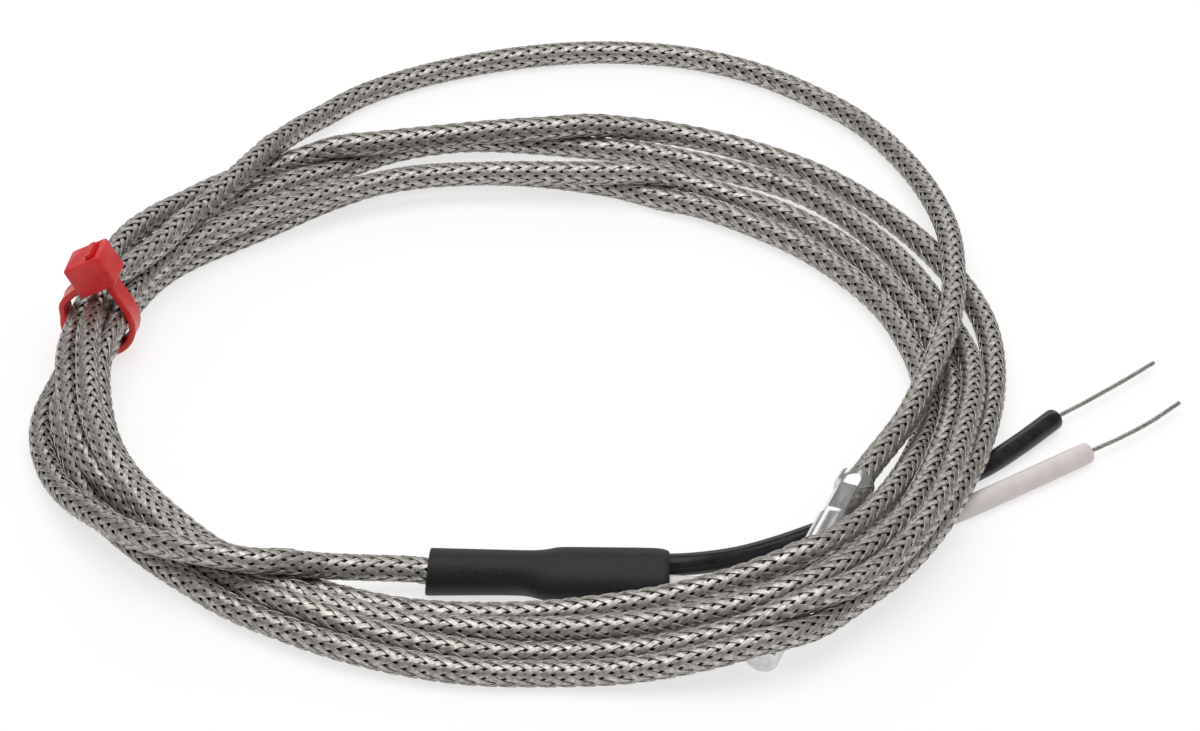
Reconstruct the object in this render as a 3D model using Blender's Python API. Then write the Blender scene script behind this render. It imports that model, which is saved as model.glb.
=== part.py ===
"""Tube thermocouple: a crimped steel probe on a braid-covered lead that lies in a tied coil.

Metres, +Z up. The probe lies along Y with its closed tip towards -Y and its crimped mouth raised,
because the two tails pass beneath it. The origin is on the floor under the middle of the probe.
"""
import math

import bmesh
import bpy
from mathutils import Matrix, Vector

MM = 0.001
CLEAR = 0.3 * MM

# Probe sheath: a drawn tube, closed at the tip, crimped onto the lead at its mouth
SHEATH_LENGTH = 37.0 * MM
SHEATH_RADIUS = 2.5 * MM
SHEATH_WALL = 0.45 * MM
TIP_EDGE_RADIUS = 0.6 * MM
CRIMP_LENGTH = 5.4 * MM
CRIMP_HALF_FLATS = 2.1 * MM
CRIMP_SHOULDER = 0.9 * MM
MOUTH_LENGTH = 2.6 * MM
MOUTH_RADIUS = 2.7 * MM
PROBE_TILT = math.radians(7.5)

# Inside the sheath
BEAD_RADIUS = 0.8 * MM
ELEMENT_RADIUS = 0.25 * MM
ELEMENT_SPACING = 1.6 * MM
INSULATOR_RADIUS = 1.7 * MM
INSULATOR_LENGTH = 22.5 * MM
INSULATOR_BORE_RADIUS = 0.5 * MM
CORE_SLEEVING_RADIUS = 0.6 * MM
CORE_SLEEVING_BORE = 0.45 * MM

# Lead and tails
LEAD_RADIUS = 1.85 * MM
TAIL_SLEEVE_RADIUS = 1.55 * MM
TAIL_SLEEVE_BORE = 0.75 * MM
TAIL_WIRE_RADIUS = 0.35 * MM
LEAD_INSERTION = 1.6 * MM

# Heat-shrink: round over the lead, oval over the two tails, drawn in at its end
SHRINK_LENGTH = 33.0 * MM
SHRINK_WALL = 0.6 * MM
SHRINK_LEAD_RADIUS = 3.1 * MM
SHRINK_TAIL_HALF_WIDTH = 4.25 * MM
SHRINK_TAIL_HALF_HEIGHT = 3.15 * MM
SHRINK_END_PINCH = 0.25 * MM
SHRINK_STEP_START = 12.5 * MM
SHRINK_STEP_END = 16.5 * MM
LEAD_END_IN_SHRINK = 14.5 * MM
SHRINK_START = Vector((-48.1, -18.9, 3.3)) * MM
SHRINK_HEADING = math.radians(22.1)

# Cable tie. Its loop lies square to the turns; the head sits on top, rolled outwards. Places in
# the loop are (outwards, up) from the loop's middle.
TIE_LOOP_CLEARANCE = 0.45 * MM
TIE_STRAP_THICKNESS = 1.0 * MM
TIE_STRAP_WIDTH = 3.6 * MM
TIE_HEAD_HEIGHT = 5.2 * MM
TIE_HEAD_WIDTH = 5.8 * MM
TIE_HEAD_LENGTH = 6.2 * MM
TIE_HEAD_EDGE = 0.5 * MM
TIE_HEAD_PLACE = (0.4 * MM, 8.8 * MM)
TIE_HEAD_ANGLE = math.radians(61.0)
TIE_SLOT_CLEARANCE = 0.35 * MM
TIE_TOOTH_DEPTH = 0.2 * MM
TIE_ROOT_INSET = 0.5 * MM
TIE_TAIL_STUB = 0.5 * MM

# The coil: where it is wound round, and the outer form of the wound turns at each heading.
# Each row is the heading in degrees, the inner turn's radius and height, the outer turn's radius
# and height, and the half thickness of the pile, in mm.
COIL_CENTRE = Vector((-55.1, 31.8, 0.0)) * MM
TIE_HEADING = 194.5
TIE_SECTION = (63.4, 5.5, 63.8, 5.5, 4.0)
COIL_SECTIONS = (
    (8.0, 59.8, 3.9, 66.3, 5.4, 2.0),
    (23.0, 57.2, 2.3, 66.9, 2.6, 1.9),
    (53.0, 53.9, 2.0, 68.3, 2.0, 1.9),
    (83.0, 51.9, 2.2, 69.3, 2.4, 1.9),
    (113.0, 53.3, 3.1, 64.3, 3.4, 2.8),
    (143.0, 55.4, 3.3, 65.6, 3.4, 2.9),
    (165.0, 59.0, 4.0, 68.3, 3.7, 3.3),
    (182.0, 61.8, 4.9, 65.8, 4.7, 4.0),
    (TIE_HEADING,) + TIE_SECTION,
    (207.0, 62.9, 5.2, 67.4, 4.3, 3.9),
    (220.0, 62.9, 4.5, 68.8, 3.9, 3.4),
    (233.0, 62.0, 3.6, 69.0, 3.8, 2.9),
    (248.0, 61.0, 3.0, 68.3, 4.2, 2.6),
    (263.0, 60.2, 2.5, 69.2, 3.3, 2.2),
    (278.0, 58.6, 2.1, 69.3, 2.2, 1.9),
    (293.0, 57.4, 2.0, 69.9, 2.0, 1.9),
    (308.0, 59.2, 3.5, 72.0, 4.0, 1.9),
    (320.0, 61.9, 7.4, 75.0, 9.0, 1.9),
    (326.0, 63.6, 9.8, 74.0, 9.2, 1.9),
    (332.0, 65.5, 10.3, 72.2, 7.4, 1.9),
    (344.0, 63.3, 7.9, 69.6, 6.2, 2.0),
    (353.0, 60.7, 5.9, 67.9, 6.6, 2.0),
)

# Free stretches of the lead, as points on their centrelines, in mm
OUTER_LOOP_ROUTE = (
    (-117.7, 67.2, 4.3),
    (-117.9, 71.5, 3.4),
    (-117.2, 76.5, 2.8),
    (-116.0, 82.0, 2.4),
    (-112.8, 91.0, 2.0),
    (-108.5, 99.0, 1.9),
    (-103.0, 105.8, 1.9),
    (-97.0, 111.6, 1.9),
    (-88.5, 117.6, 1.9),
    (-78.0, 122.4, 1.9),
    (-67.0, 124.6, 1.9),
    (-56.0, 124.2, 1.9),
    (-46.5, 121.6, 1.9),
    (-38.0, 117.8, 1.9),
    (-30.5, 113.0, 2.1),
    (-21.0, 103.0, 3.2),
    (-14.0, 92.5, 4.7),
    (-10.0, 84.7, 5.9),
    (-6.3, 76.5, 6.3),
    (-3.6, 67.5, 6.4),
    (-1.7, 58.0, 6.6),
    (-0.3, 48.0, 7.0),
    (0.3, 38.0, 7.6),
    (0.2, 29.0, 8.0),
    (0.0, 23.5, 7.9),
)
START_RUN_ROUTE = (
    (-49.5, -19.5, 3.3),
    (-52.5, -20.8, 3.4),
    (-55.5, -22.0, 3.5),
    (-57.3, -22.7, 3.6),
)
BLACK_TAIL_ROUTE = (
    (-15.0, -2.0, 2.9),
    (-11.1, 2.9, 2.2),
    (-7.8, 7.4, 1.8),
    (-4.5, 11.9, 1.6),
    (0.3, 19.1, 1.6),
    (6.1, 27.7, 1.6),
    (11.3, 36.0, 1.6),
    (14.0, 41.2, 1.6),
    (17.0, 47.6, 1.6),
    (18.6, 51.2, 1.6),
)
WHITE_TAIL_ROUTE = (
    (-13.6, -6.4, 2.7),
    (-9.3, -3.0, 1.9),
    (-6.0, 0.6, 1.6),
    (-3.0, 4.2, 1.6),
    (3.0, 11.8, 1.6),
    (9.0, 19.4, 1.6),
    (13.4, 25.7, 1.6),
    (17.0, 31.6, 1.6),
    (20.4, 37.4, 1.6),
    (25.0, 45.3, 1.6),
)
BLACK_BARE_ROUTE = (
    (20.3, 55.6, 1.5),
    (22.3, 60.4, 1.2),
    (24.5, 65.6, 0.8),
    (26.6, 70.5, 0.4),
)
WHITE_BARE_ROUTE = (
    (27.4, 48.9, 1.5),
    (29.6, 52.4, 1.3),
    (31.8, 57.0, 0.9),
    (33.2, 62.0, 0.4),
)

ROUND_SIDES = 24
SMALL_SIDES = 12
ROUTE_STEP = 7.0 * MM
TAIL_STEP = 3.5 * MM


def clear_scene():
    for item in list(bpy.data.objects):
        bpy.data.objects.remove(item, do_unlink=True)


def finish_material(name, colour, roughness, metallic):
    material = bpy.data.materials.new(name)
    material.use_nodes = True
    shader = material.node_tree.nodes["Principled BSDF"]
    shader.inputs["Base Color"].default_value = (*colour, 1.0)
    shader.inputs["Roughness"].default_value = roughness
    shader.inputs["Metallic"].default_value = metallic
    return material


def mesh_object(name, vertices, faces, material, parent=None):
    mesh = bpy.data.meshes.new(name)
    mesh.from_pydata([tuple(vertex) for vertex in vertices], [], faces)
    mesh.materials.append(material)
    mesh.shade_smooth()
    mesh.set_sharp_from_angle(angle=math.radians(35.0))
    made = bpy.data.objects.new(name, mesh)
    bpy.context.collection.objects.link(made)
    made.parent = parent
    return made


def loft(name, rings, material, parent=None, closed=False):
    """Join rings of equal length into one skin; an open loft gets a flat cap at each end."""
    sides = len(rings[0])
    vertices = [vertex for ring in rings for vertex in ring]
    joins = len(rings) if closed else len(rings) - 1
    faces = []
    for row in range(joins):
        here = row * sides
        there = ((row + 1) % len(rings)) * sides
        for side in range(sides):
            after = (side + 1) % sides
            faces.append((here + side, here + after, there + after, there + side))
    if not closed:
        last = (len(rings) - 1) * sides
        faces.append(tuple(reversed(range(sides))))
        faces.append(tuple(range(last, last + sides)))
    made = mesh_object(name, vertices, faces, material, parent)
    shell = bmesh.new()
    shell.from_mesh(made.data)
    bmesh.ops.recalc_face_normals(shell, faces=shell.faces)
    shell.to_mesh(made.data)
    shell.free()
    return made


def smooth_route(points, step):
    """Points every step or so along one smooth curve through the route's own points."""
    ends = [points[0] * 2 - points[1], *points, points[-1] * 2 - points[-2]]
    route = [points[0].copy()]
    for before, start, end, after in zip(ends, ends[1:], ends[2:], ends[3:]):
        pieces = max(1, round((end - start).length / step))
        for piece in range(1, pieces + 1):
            t = piece / pieces
            route.append(0.5 * (2 * start + (end - before) * t
                                + (2 * before - 5 * start + 4 * end - after) * t ** 2
                                + (3 * start - before - 3 * end + after) * t ** 3))
    return route


def frames_along(route):
    """A sideways and an upward direction at each point, both square to the route."""
    frames = []
    for index, point in enumerate(route):
        heading = (route[min(index + 1, len(route) - 1)] - route[max(index - 1, 0)]).normalized()
        sideways = heading.cross(Vector((0.0, 0.0, 1.0))).normalized()
        frames.append((point, sideways, sideways.cross(heading)))
    return frames


def oval_ring(point, sideways, upward, half_width, half_height, sides):
    ring = []
    for side in range(sides):
        angle = 2 * math.pi * side / sides
        ring.append(point + sideways * (half_width * math.cos(angle))
                    + upward * (half_height * math.sin(angle)))
    return ring


def hollow_sleeve(name, frames, outer_sizes, inner_sizes, sides, material):
    """A sleeve open at both ends: its outside one way, then back through its bore."""
    rings = [oval_ring(*frame, *size, sides) for frame, size in zip(frames, outer_sizes)]
    rings += [oval_ring(*frame, *size, sides)
              for frame, size in reversed(list(zip(frames, inner_sizes)))]
    return loft(name, rings, material, closed=True)


def cord_tube(name, route, radius, material):
    curve = bpy.data.curves.new(name, "CURVE")
    curve.dimensions = "3D"
    curve.bevel_depth = radius
    curve.bevel_resolution = 2
    curve.use_fill_caps = True
    curve.resolution_u = 1
    curve.render_resolution_u = 0
    line = curve.splines.new("POLY")
    line.points.add(len(route) - 1)
    for point, place in zip(line.points, route):
        point.co = (*place, 1.0)
    curve.materials.append(material)
    made = bpy.data.objects.new(name, curve)
    bpy.context.collection.objects.link(made)
    return made


def hide_cutter(cutter):
    cutter.hide_render = True
    cutter.display_type = "WIRE"


def cut(target, cutter, operation="DIFFERENCE"):
    hide_cutter(cutter)
    modifier = target.modifiers.new(cutter.name, "BOOLEAN")
    modifier.object = cutter
    modifier.operation = operation
    modifier.solver = "EXACT"


def box_object(name, size, matrix, material, bevel=0.0):
    """A block of the given size, centred on the matrix, with its edges rounded where asked."""
    mesh = bpy.data.meshes.new(name)
    block = bmesh.new()
    bmesh.ops.create_cube(block, size=1.0)
    bmesh.ops.scale(block, vec=size, verts=block.verts)
    if bevel:
        bmesh.ops.bevel(block, geom=block.edges[:], offset=bevel, segments=2, profile=0.5,
                        affect="EDGES")
    block.to_mesh(mesh)
    block.free()
    mesh.materials.append(material)
    made = bpy.data.objects.new(name, mesh)
    bpy.context.collection.objects.link(made)
    made.matrix_world = matrix
    return made


def route_mm(points):
    return [Vector(point) * MM for point in points]


def probe_axis():
    """The empty that carries the probe: its +Y runs from the tip's face to the mouth."""
    axis = bpy.data.objects.new("probe_axis", None)
    bpy.context.collection.objects.link(axis)
    lean = math.sin(PROBE_TILT)
    flat_radius = SHEATH_RADIUS - TIP_EDGE_RADIUS
    tip_height = flat_radius * math.cos(PROBE_TILT) + TIP_EDGE_RADIUS * (1.0 - lean)
    low_end = -flat_radius * lean - TIP_EDGE_RADIUS * (1.0 - math.cos(PROBE_TILT))
    high_end = SHEATH_LENGTH * math.cos(PROBE_TILT) + MOUTH_RADIUS * lean
    axis.location = (0.0, -(low_end + high_end) / 2, tip_height)
    axis.rotation_euler = (PROBE_TILT, 0.0, 0.0)
    bpy.context.view_layer.update()
    return axis


def hexagon_reach(angle, half_flats):
    corner = math.pi / 3
    return half_flats / math.cos((angle % corner) - corner / 2)


def sheath_ring(along, radius, hexness, half_flats):
    """One ring of the sheath's wall, from round (hexness 0) to the crimp's six flats (1)."""
    ring = []
    for side in range(ROUND_SIDES):
        angle = 2 * math.pi * side / ROUND_SIDES
        reach = radius + hexness * (hexagon_reach(angle, half_flats) - radius)
        ring.append(Vector((reach * math.cos(angle), along, reach * math.sin(angle))))
    return ring


def make_sheath(axis):
    steel = finish_material("polished_steel", (0.78, 0.78, 0.77), 0.12, 1.0)
    mouth = SHEATH_LENGTH
    flare = mouth - MOUTH_LENGTH
    crimp = flare - CRIMP_LENGTH
    shoulder = crimp - CRIMP_SHOULDER
    outside = []
    for step in range(4):
        bend = math.pi / 2 * step / 3
        outside.append((TIP_EDGE_RADIUS * (1 - math.cos(bend)),
                        SHEATH_RADIUS - TIP_EDGE_RADIUS * (1 - math.sin(bend)), 0.0))
    outside += [(shoulder, SHEATH_RADIUS, 0.0), (crimp, SHEATH_RADIUS, 1.0),
                (flare, SHEATH_RADIUS, 1.0), (flare + MOUTH_LENGTH * 0.3, MOUTH_RADIUS, 0.25),
                (flare + MOUTH_LENGTH * 0.7, MOUTH_RADIUS, 0.0), (mouth, MOUTH_RADIUS, 0.0)]
    inside = [(along, radius - SHEATH_WALL, hexness) for along, radius, hexness in outside[4:]]
    inside.insert(0, (SHEATH_WALL, SHEATH_RADIUS - SHEATH_WALL, 0.0))
    rings = [sheath_ring(*row, CRIMP_HALF_FLATS) for row in outside]
    rings += [sheath_ring(*row, CRIMP_HALF_FLATS - SHEATH_WALL) for row in reversed(inside)]
    return loft("probe_sheath", rings, steel, axis)


def straight_tube(name, start, end, side_place, outer, bore, material, axis, sides=SMALL_SIDES):
    """A straight round piece inside the sheath, hollow where it has a bore."""
    across, upward = Vector((1.0, 0.0, 0.0)), Vector((0.0, 0.0, 1.0))
    near, far = Vector((side_place, start, 0.0)), Vector((side_place, end, 0.0))
    rings = [oval_ring(place, across, upward, outer, outer, sides) for place in (near, far)]
    if bore:
        rings += [oval_ring(place, across, upward, bore, bore, sides) for place in (far, near)]
    return loft(name, rings, material, axis, closed=bool(bore))


def make_bead(axis):
    alloy = finish_material("welded_bead", (0.42, 0.40, 0.38), 0.45, 1.0)
    mesh = bpy.data.meshes.new("measuring_junction")
    ball = bmesh.new()
    bmesh.ops.create_uvsphere(ball, u_segments=16, v_segments=10, radius=BEAD_RADIUS)
    ball.to_mesh(mesh)
    ball.free()
    mesh.materials.append(alloy)
    mesh.shade_smooth()
    bead = bpy.data.objects.new("measuring_junction", mesh)
    bpy.context.collection.objects.link(bead)
    bead.parent = axis
    bead.location = (0.0, SHEATH_WALL + CLEAR + BEAD_RADIUS, 0.0)


def make_probe_inside(axis):
    """The insulator and the two sleeved elements run from the bead to the lead's cut end."""
    bead_far_side = SHEATH_WALL + 2 * CLEAR + 2 * BEAD_RADIUS
    wires_end = SHEATH_LENGTH - LEAD_INSERTION - CLEAR
    insulator_start = bead_far_side + 2 * CLEAR
    insulator_end = insulator_start + INSULATOR_LENGTH
    ceramic = finish_material("white_ceramic", (0.86, 0.85, 0.80), 0.6, 0.0)
    insulator = straight_tube("ceramic_insulator", insulator_start, insulator_end, 0.0,
                              INSULATOR_RADIUS, 0.0, ceramic, axis, ROUND_SIDES)
    glass = finish_material("glass_fibre", (0.82, 0.80, 0.72), 0.8, 0.0)
    for name, side, colour in (("positive", 1, (0.55, 0.52, 0.50)),
                               ("negative", -1, (0.60, 0.52, 0.42))):
        place = side * ELEMENT_SPACING / 2
        bore = straight_tube(name + "_insulator_bore", insulator_start - CLEAR,
                             insulator_end + CLEAR, place, INSULATOR_BORE_RADIUS, 0.0,
                             ceramic, axis)
        cut(insulator, bore)
        alloy = finish_material(name + "_alloy", colour, 0.35, 1.0)
        straight_tube(name + "_element_wire", bead_far_side, wires_end, place,
                      ELEMENT_RADIUS, 0.0, alloy, axis)
        straight_tube(name + "_core_sleeving", insulator_end + CLEAR, wires_end, place,
                      CORE_SLEEVING_RADIUS, CORE_SLEEVING_BORE, glass, axis)


def coil_ring(heading, inner_radius, inner_height, outer_radius, outer_height, half_thickness):
    """A round-ended outline through the pile of turns, from the inner turn to the outer one."""
    outward = Vector((math.cos(math.radians(heading)), math.sin(math.radians(heading)), 0.0))
    upward = Vector((0.0, 0.0, 1.0))
    inner = COIL_CENTRE + (outward * inner_radius + upward * inner_height) * MM
    outer = COIL_CENTRE + (outward * outer_radius + upward * outer_height) * MM
    along = (outer - inner).normalized()
    across = upward * along.dot(outward) - outward * along.dot(upward)
    ring = []
    for centre, first in ((outer, -90.0), (inner, 90.0)):
        for step in range(7):
            turn = math.radians(first + 30.0 * step)
            ring.append(centre + (along * math.cos(turn) + across * math.sin(turn))
                        * (half_thickness * MM))
    return ring


def blend_sections(before, start, end, after, t):
    """Values between two rows of the coil's table, on a smooth curve through its rows."""
    return [0.5 * (2 * b + (c - a) * t + (2 * a - 5 * b + 4 * c - d) * t ** 2
                   + (3 * b - a - 3 * c + d) * t ** 3)
            for a, b, c, d in zip(before, start, end, after)]


def make_coil(braid):
    rows = [list(row) for row in COIL_SECTIONS]
    count = len(rows)
    rings = []
    for index in range(count):
        before, start, end, after = (list(rows[(index + shift) % count])
                                     for shift in (-1, 0, 1, 2))
        if index == 0:
            before[0] -= 360.0
        if index >= count - 1:
            end[0] += 360.0
        if index >= count - 2:
            after[0] += 360.0
        pieces = max(1, round((end[0] - start[0]) / 8.0))
        for piece in range(pieces):
            row = blend_sections(before, start, end, after, piece / pieces)
            rings.append(coil_ring(*row))
    return loft("lead_coil", rings, braid, closed=True)


def tie_matrix():
    """The tie's own frame: X outwards from the coil's centre, Y along the turns, Z up."""
    heading = math.radians(TIE_HEADING)
    outward = Vector((math.cos(heading), math.sin(heading), 0.0))
    along = Vector((0.0, 0.0, 1.0)).cross(outward)
    middle = (TIE_SECTION[0] + TIE_SECTION[2]) / 2
    place = COIL_CENTRE + (outward * middle + Vector((0.0, 0.0, TIE_SECTION[1]))) * MM
    turn = Matrix((outward, along, Vector((0.0, 0.0, 1.0)))).transposed().to_4x4()
    return Matrix.Translation(place) @ turn


def strap_route(middle, half_flat):
    """The strap's middle line: from its root in the head, round the turns and up into the slot."""
    out = Vector((math.cos(TIE_HEAD_ANGLE), math.sin(TIE_HEAD_ANGLE)))
    side = Vector((-out.y, out.x))
    head = Vector(TIE_HEAD_PLACE)
    root = head - out * (TIE_HEAD_HEIGHT / 2 - TIE_STRAP_THICKNESS / 2 - TIE_ROOT_INSET)
    slot_side = Vector((-half_flat, 0.0)) + side * middle
    slot_place = (slot_side - head).dot(side)
    points = [root - side * (TIE_HEAD_LENGTH * 0.3), root - side * (TIE_HEAD_LENGTH * 0.5)]
    points.append(Vector((half_flat + middle * 0.98, middle * 0.62)))
    for step in range(13):
        angle = math.radians(10.0) - (math.pi - TIE_HEAD_ANGLE + math.radians(80.0)) * step / 12
        flat = half_flat * max(-1.0, min(1.0, math.cos(angle) * 3.0))
        points.append(Vector((flat + middle * math.cos(angle), middle * math.sin(angle))))
    stub = head + side * slot_place + out * (TIE_HEAD_HEIGHT / 2 + TIE_TAIL_STUB)
    points += [slot_side + (stub - slot_side) * (step / 4) for step in range(5)]
    return [Vector((point.x, 0.0, point.y)) for point in points], slot_place


def strap_frames(route):
    """Each point of the strap with its outward side, square to the strap in the loop's plane."""
    for index, point in enumerate(route):
        heading = (route[min(index + 1, len(route) - 1)] - route[max(index - 1, 0)]).normalized()
        yield point, Vector((-heading.z, 0.0, heading.x)), heading


def make_tie():
    """One moulding: a strap round the turns, its root in the head and its tail through the slot."""
    nylon = finish_material("red_nylon", (0.62, 0.02, 0.03), 0.35, 0.0)
    frame = tie_matrix()
    half_flat = (TIE_SECTION[2] - TIE_SECTION[0]) / 2 * MM
    middle = TIE_SECTION[4] * MM + TIE_LOOP_CLEARANCE + TIE_STRAP_THICKNESS / 2
    route, slot_place = strap_route(middle, half_flat)
    route = smooth_route(route, 1.0 * MM)

    head_place = Matrix.Translation((TIE_HEAD_PLACE[0], 0.0, TIE_HEAD_PLACE[1]))
    head_frame = frame @ head_place @ Matrix.Rotation(-TIE_HEAD_ANGLE, 4, "Y")
    head = box_object("cable_tie", (TIE_HEAD_HEIGHT, TIE_HEAD_WIDTH, TIE_HEAD_LENGTH),
                      head_frame, nylon, bevel=TIE_HEAD_EDGE)
    slot = box_object("tie_slot", (TIE_HEAD_HEIGHT * 2, TIE_STRAP_WIDTH + 2 * TIE_SLOT_CLEARANCE,
                                   TIE_STRAP_THICKNESS + 2 * TIE_SLOT_CLEARANCE),
                      head_frame @ Matrix.Translation((0.0, 0.0, slot_place)), nylon)
    rings = []
    across = Vector((0.0, TIE_STRAP_WIDTH / 2, 0.0))
    for step, (place, outward, _) in enumerate(strap_frames(route)):
        tooth = TIE_TOOTH_DEPTH if step > len(route) // 3 and step % 2 else 0.0
        inner = outward * (tooth - TIE_STRAP_THICKNESS / 2)
        outer = outward * (TIE_STRAP_THICKNESS / 2)
        rings.append([frame @ (place + corner) for corner in
                      (inner - across, inner + across, outer + across, outer - across)])
    strap = loft("tie_strap", rings, nylon)
    cut(head, slot)
    cut(head, strap, "UNION")
    return head


def make_heat_shrink():
    black = finish_material("matt_black_polyolefin", (0.02, 0.02, 0.022), 0.6, 0.0)
    heading = Vector((math.cos(SHRINK_HEADING), math.sin(SHRINK_HEADING), 0.0))
    sideways = heading.cross(Vector((0.0, 0.0, 1.0)))
    rows = (
        (0.0, SHRINK_LEAD_RADIUS, SHRINK_LEAD_RADIUS),
        (SHRINK_STEP_START, SHRINK_LEAD_RADIUS, SHRINK_LEAD_RADIUS),
        (SHRINK_STEP_END, SHRINK_TAIL_HALF_WIDTH, SHRINK_TAIL_HALF_HEIGHT),
        (SHRINK_LENGTH - 1.5 * MM, SHRINK_TAIL_HALF_WIDTH, SHRINK_TAIL_HALF_HEIGHT),
        (SHRINK_LENGTH, SHRINK_TAIL_HALF_WIDTH, SHRINK_TAIL_HALF_HEIGHT - SHRINK_END_PINCH),
    )
    frames = [(SHRINK_START + heading * along, sideways, Vector((0.0, 0.0, 1.0)))
              for along, _, _ in rows]
    outer = [(width, height) for _, width, height in rows]
    inner = [(width - SHRINK_WALL, height - SHRINK_WALL) for width, height in outer]
    return hollow_sleeve("heat_shrink_sleeve", frames, outer, inner, ROUND_SIDES, black)


def make_lead(braid):
    heading = Vector((math.cos(SHRINK_HEADING), math.sin(SHRINK_HEADING), 0.0))
    axis = bpy.data.objects["probe_axis"]
    into_mouth = axis.matrix_world @ Vector((0.0, SHEATH_LENGTH - LEAD_INSERTION, 0.0))
    outer_loop = route_mm(OUTER_LOOP_ROUTE) + [into_mouth]
    cord_tube("lead_outer_loop", smooth_route(outer_loop, ROUTE_STEP), LEAD_RADIUS, braid)
    start_run = [SHRINK_START + heading * LEAD_END_IN_SHRINK, SHRINK_START + heading * (7.0 * MM),
                 SHRINK_START] + route_mm(START_RUN_ROUTE)
    cord_tube("lead_start_run", smooth_route(start_run, ROUTE_STEP), LEAD_RADIUS, braid)


def make_tail(name, side, sleeve_points, bare_points, colour, roughness):
    """One sleeved tail: its conductor starts at the lead's cut end inside the heat-shrink."""
    heading = Vector((math.cos(SHRINK_HEADING), math.sin(SHRINK_HEADING), 0.0))
    sideways = Vector((-heading.y, heading.x, 0.0)) * side
    spacing = TAIL_SLEEVE_RADIUS + CLEAR / 2
    wire_start = (SHRINK_START + heading * (LEAD_END_IN_SHRINK + 2 * CLEAR)
                  + sideways * (TAIL_WIRE_RADIUS + CLEAR))
    sleeve_start = LEAD_END_IN_SHRINK + 3.5 * MM
    in_shrink = [SHRINK_START + heading * along + sideways * spacing
                 for along in (sleeve_start, (sleeve_start + SHRINK_LENGTH) / 2, SHRINK_LENGTH)]
    sleeve_points = in_shrink + route_mm(sleeve_points)
    route = smooth_route(sleeve_points, TAIL_STEP)
    frames = frames_along(route)
    outer = [(TAIL_SLEEVE_RADIUS, TAIL_SLEEVE_RADIUS)] * len(frames)
    bore = [(TAIL_SLEEVE_BORE, TAIL_SLEEVE_BORE)] * len(frames)
    plastic = finish_material(name + "_sleeving", colour, roughness, 0.0)
    hollow_sleeve(name + "_sleeve", frames, outer, bore, SMALL_SIDES, plastic)
    copper = finish_material(name + "_wire_metal", (0.45, 0.43, 0.40), 0.35, 1.0)
    wire = [wire_start] + sleeve_points + route_mm(bare_points)
    cord_tube(name + "_tail_wire", smooth_route(wire, TAIL_STEP), TAIL_WIRE_RADIUS, copper)


def main():
    clear_scene()
    braid = finish_material("steel_braid", (0.46, 0.45, 0.43), 0.4, 0.8)
    axis = probe_axis()
    make_sheath(axis)
    make_bead(axis)
    make_probe_inside(axis)
    make_coil(braid)
    make_lead(braid)
    make_tie()
    make_heat_shrink()
    make_tail("black", 1, BLACK_TAIL_ROUTE, BLACK_BARE_ROUTE, (0.015, 0.015, 0.017), 0.25)
    make_tail("white", -1, WHITE_TAIL_ROUTE, WHITE_BARE_ROUTE, (0.86, 0.80, 0.78), 0.3)


main()
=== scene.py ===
"""A tube thermocouple on its coiled, metal-braided lead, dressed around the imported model."""
import math

import bpy
import numpy as np
from mathutils import Matrix, Vector


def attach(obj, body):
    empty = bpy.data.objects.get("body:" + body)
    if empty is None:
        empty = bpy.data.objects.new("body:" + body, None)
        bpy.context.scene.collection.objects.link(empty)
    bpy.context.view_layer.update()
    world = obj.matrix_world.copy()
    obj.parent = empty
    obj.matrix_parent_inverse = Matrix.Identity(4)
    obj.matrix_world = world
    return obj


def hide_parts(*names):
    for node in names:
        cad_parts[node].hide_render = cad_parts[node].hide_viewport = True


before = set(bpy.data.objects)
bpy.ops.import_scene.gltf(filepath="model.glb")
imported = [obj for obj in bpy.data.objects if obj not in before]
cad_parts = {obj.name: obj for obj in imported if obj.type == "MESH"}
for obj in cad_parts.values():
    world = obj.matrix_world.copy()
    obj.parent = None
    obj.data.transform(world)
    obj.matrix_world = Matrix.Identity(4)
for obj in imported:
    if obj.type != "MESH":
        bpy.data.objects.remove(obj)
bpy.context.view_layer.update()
MM = 0.001

# ---- The view
# The photograph was taken with a long lens from above the probe's tip side. Places measured on
# it are read through this same camera, with the picture taken to be 1200 x 731.
PICTURE_WIDTH, PICTURE_HEIGHT = 1200, 731
CAMERA_PLACE = Vector((0.1690, -0.4705, 0.3747))
CAMERA_TARGET = Vector((-0.0480, 0.0408, 0.0))
CAMERA_LENS, CAMERA_SENSOR = 137.7, 36.0

camera_data = bpy.data.cameras.new("product_camera")
camera_data.lens = CAMERA_LENS
camera_data.sensor_width = CAMERA_SENSOR
camera = bpy.data.objects.new("product_camera", camera_data)
bpy.context.collection.objects.link(camera)
camera.location = CAMERA_PLACE
camera_turn = (CAMERA_TARGET - CAMERA_PLACE).to_track_quat("-Z", "Y")
camera.rotation_euler = camera_turn.to_euler()
bpy.context.scene.camera = camera

# ---- The studio
# White paper under the part, an even white room and two soft lamps. The paper shows white in
# the picture and in polished metal, and keeps a shadow.
PAPER_SIZE, PAPER_DROP = 6.0, 0.00005
PAPER_WHITENING, PAPER_GLOW = 0.6, 1.15
ROOM_LIGHT = 0.29
LAMP_TARGET = (-0.05, 0.03, 0.0)


def plain_material(name, colour, roughness, metallic=0.0):
    """A material with one shader; what varies over the surface is wired in by its piece."""
    material = bpy.data.materials.new(name)
    material.use_nodes = True
    shader = material.node_tree.nodes["Principled BSDF"]
    shader.inputs["Base Color"].default_value = (*colour, 1.0)
    shader.inputs["Roughness"].default_value = roughness
    shader.inputs["Metallic"].default_value = metallic
    return material, shader


def add_node(material, kind, **values):
    """A node of that kind, with its settings and its inputs' values set by name."""
    node = material.node_tree.nodes.new("ShaderNode" + kind)
    for key, value in values.items():
        if key in node.inputs:
            node.inputs[key].default_value = value
        else:
            setattr(node, key, value)
    return node


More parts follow.
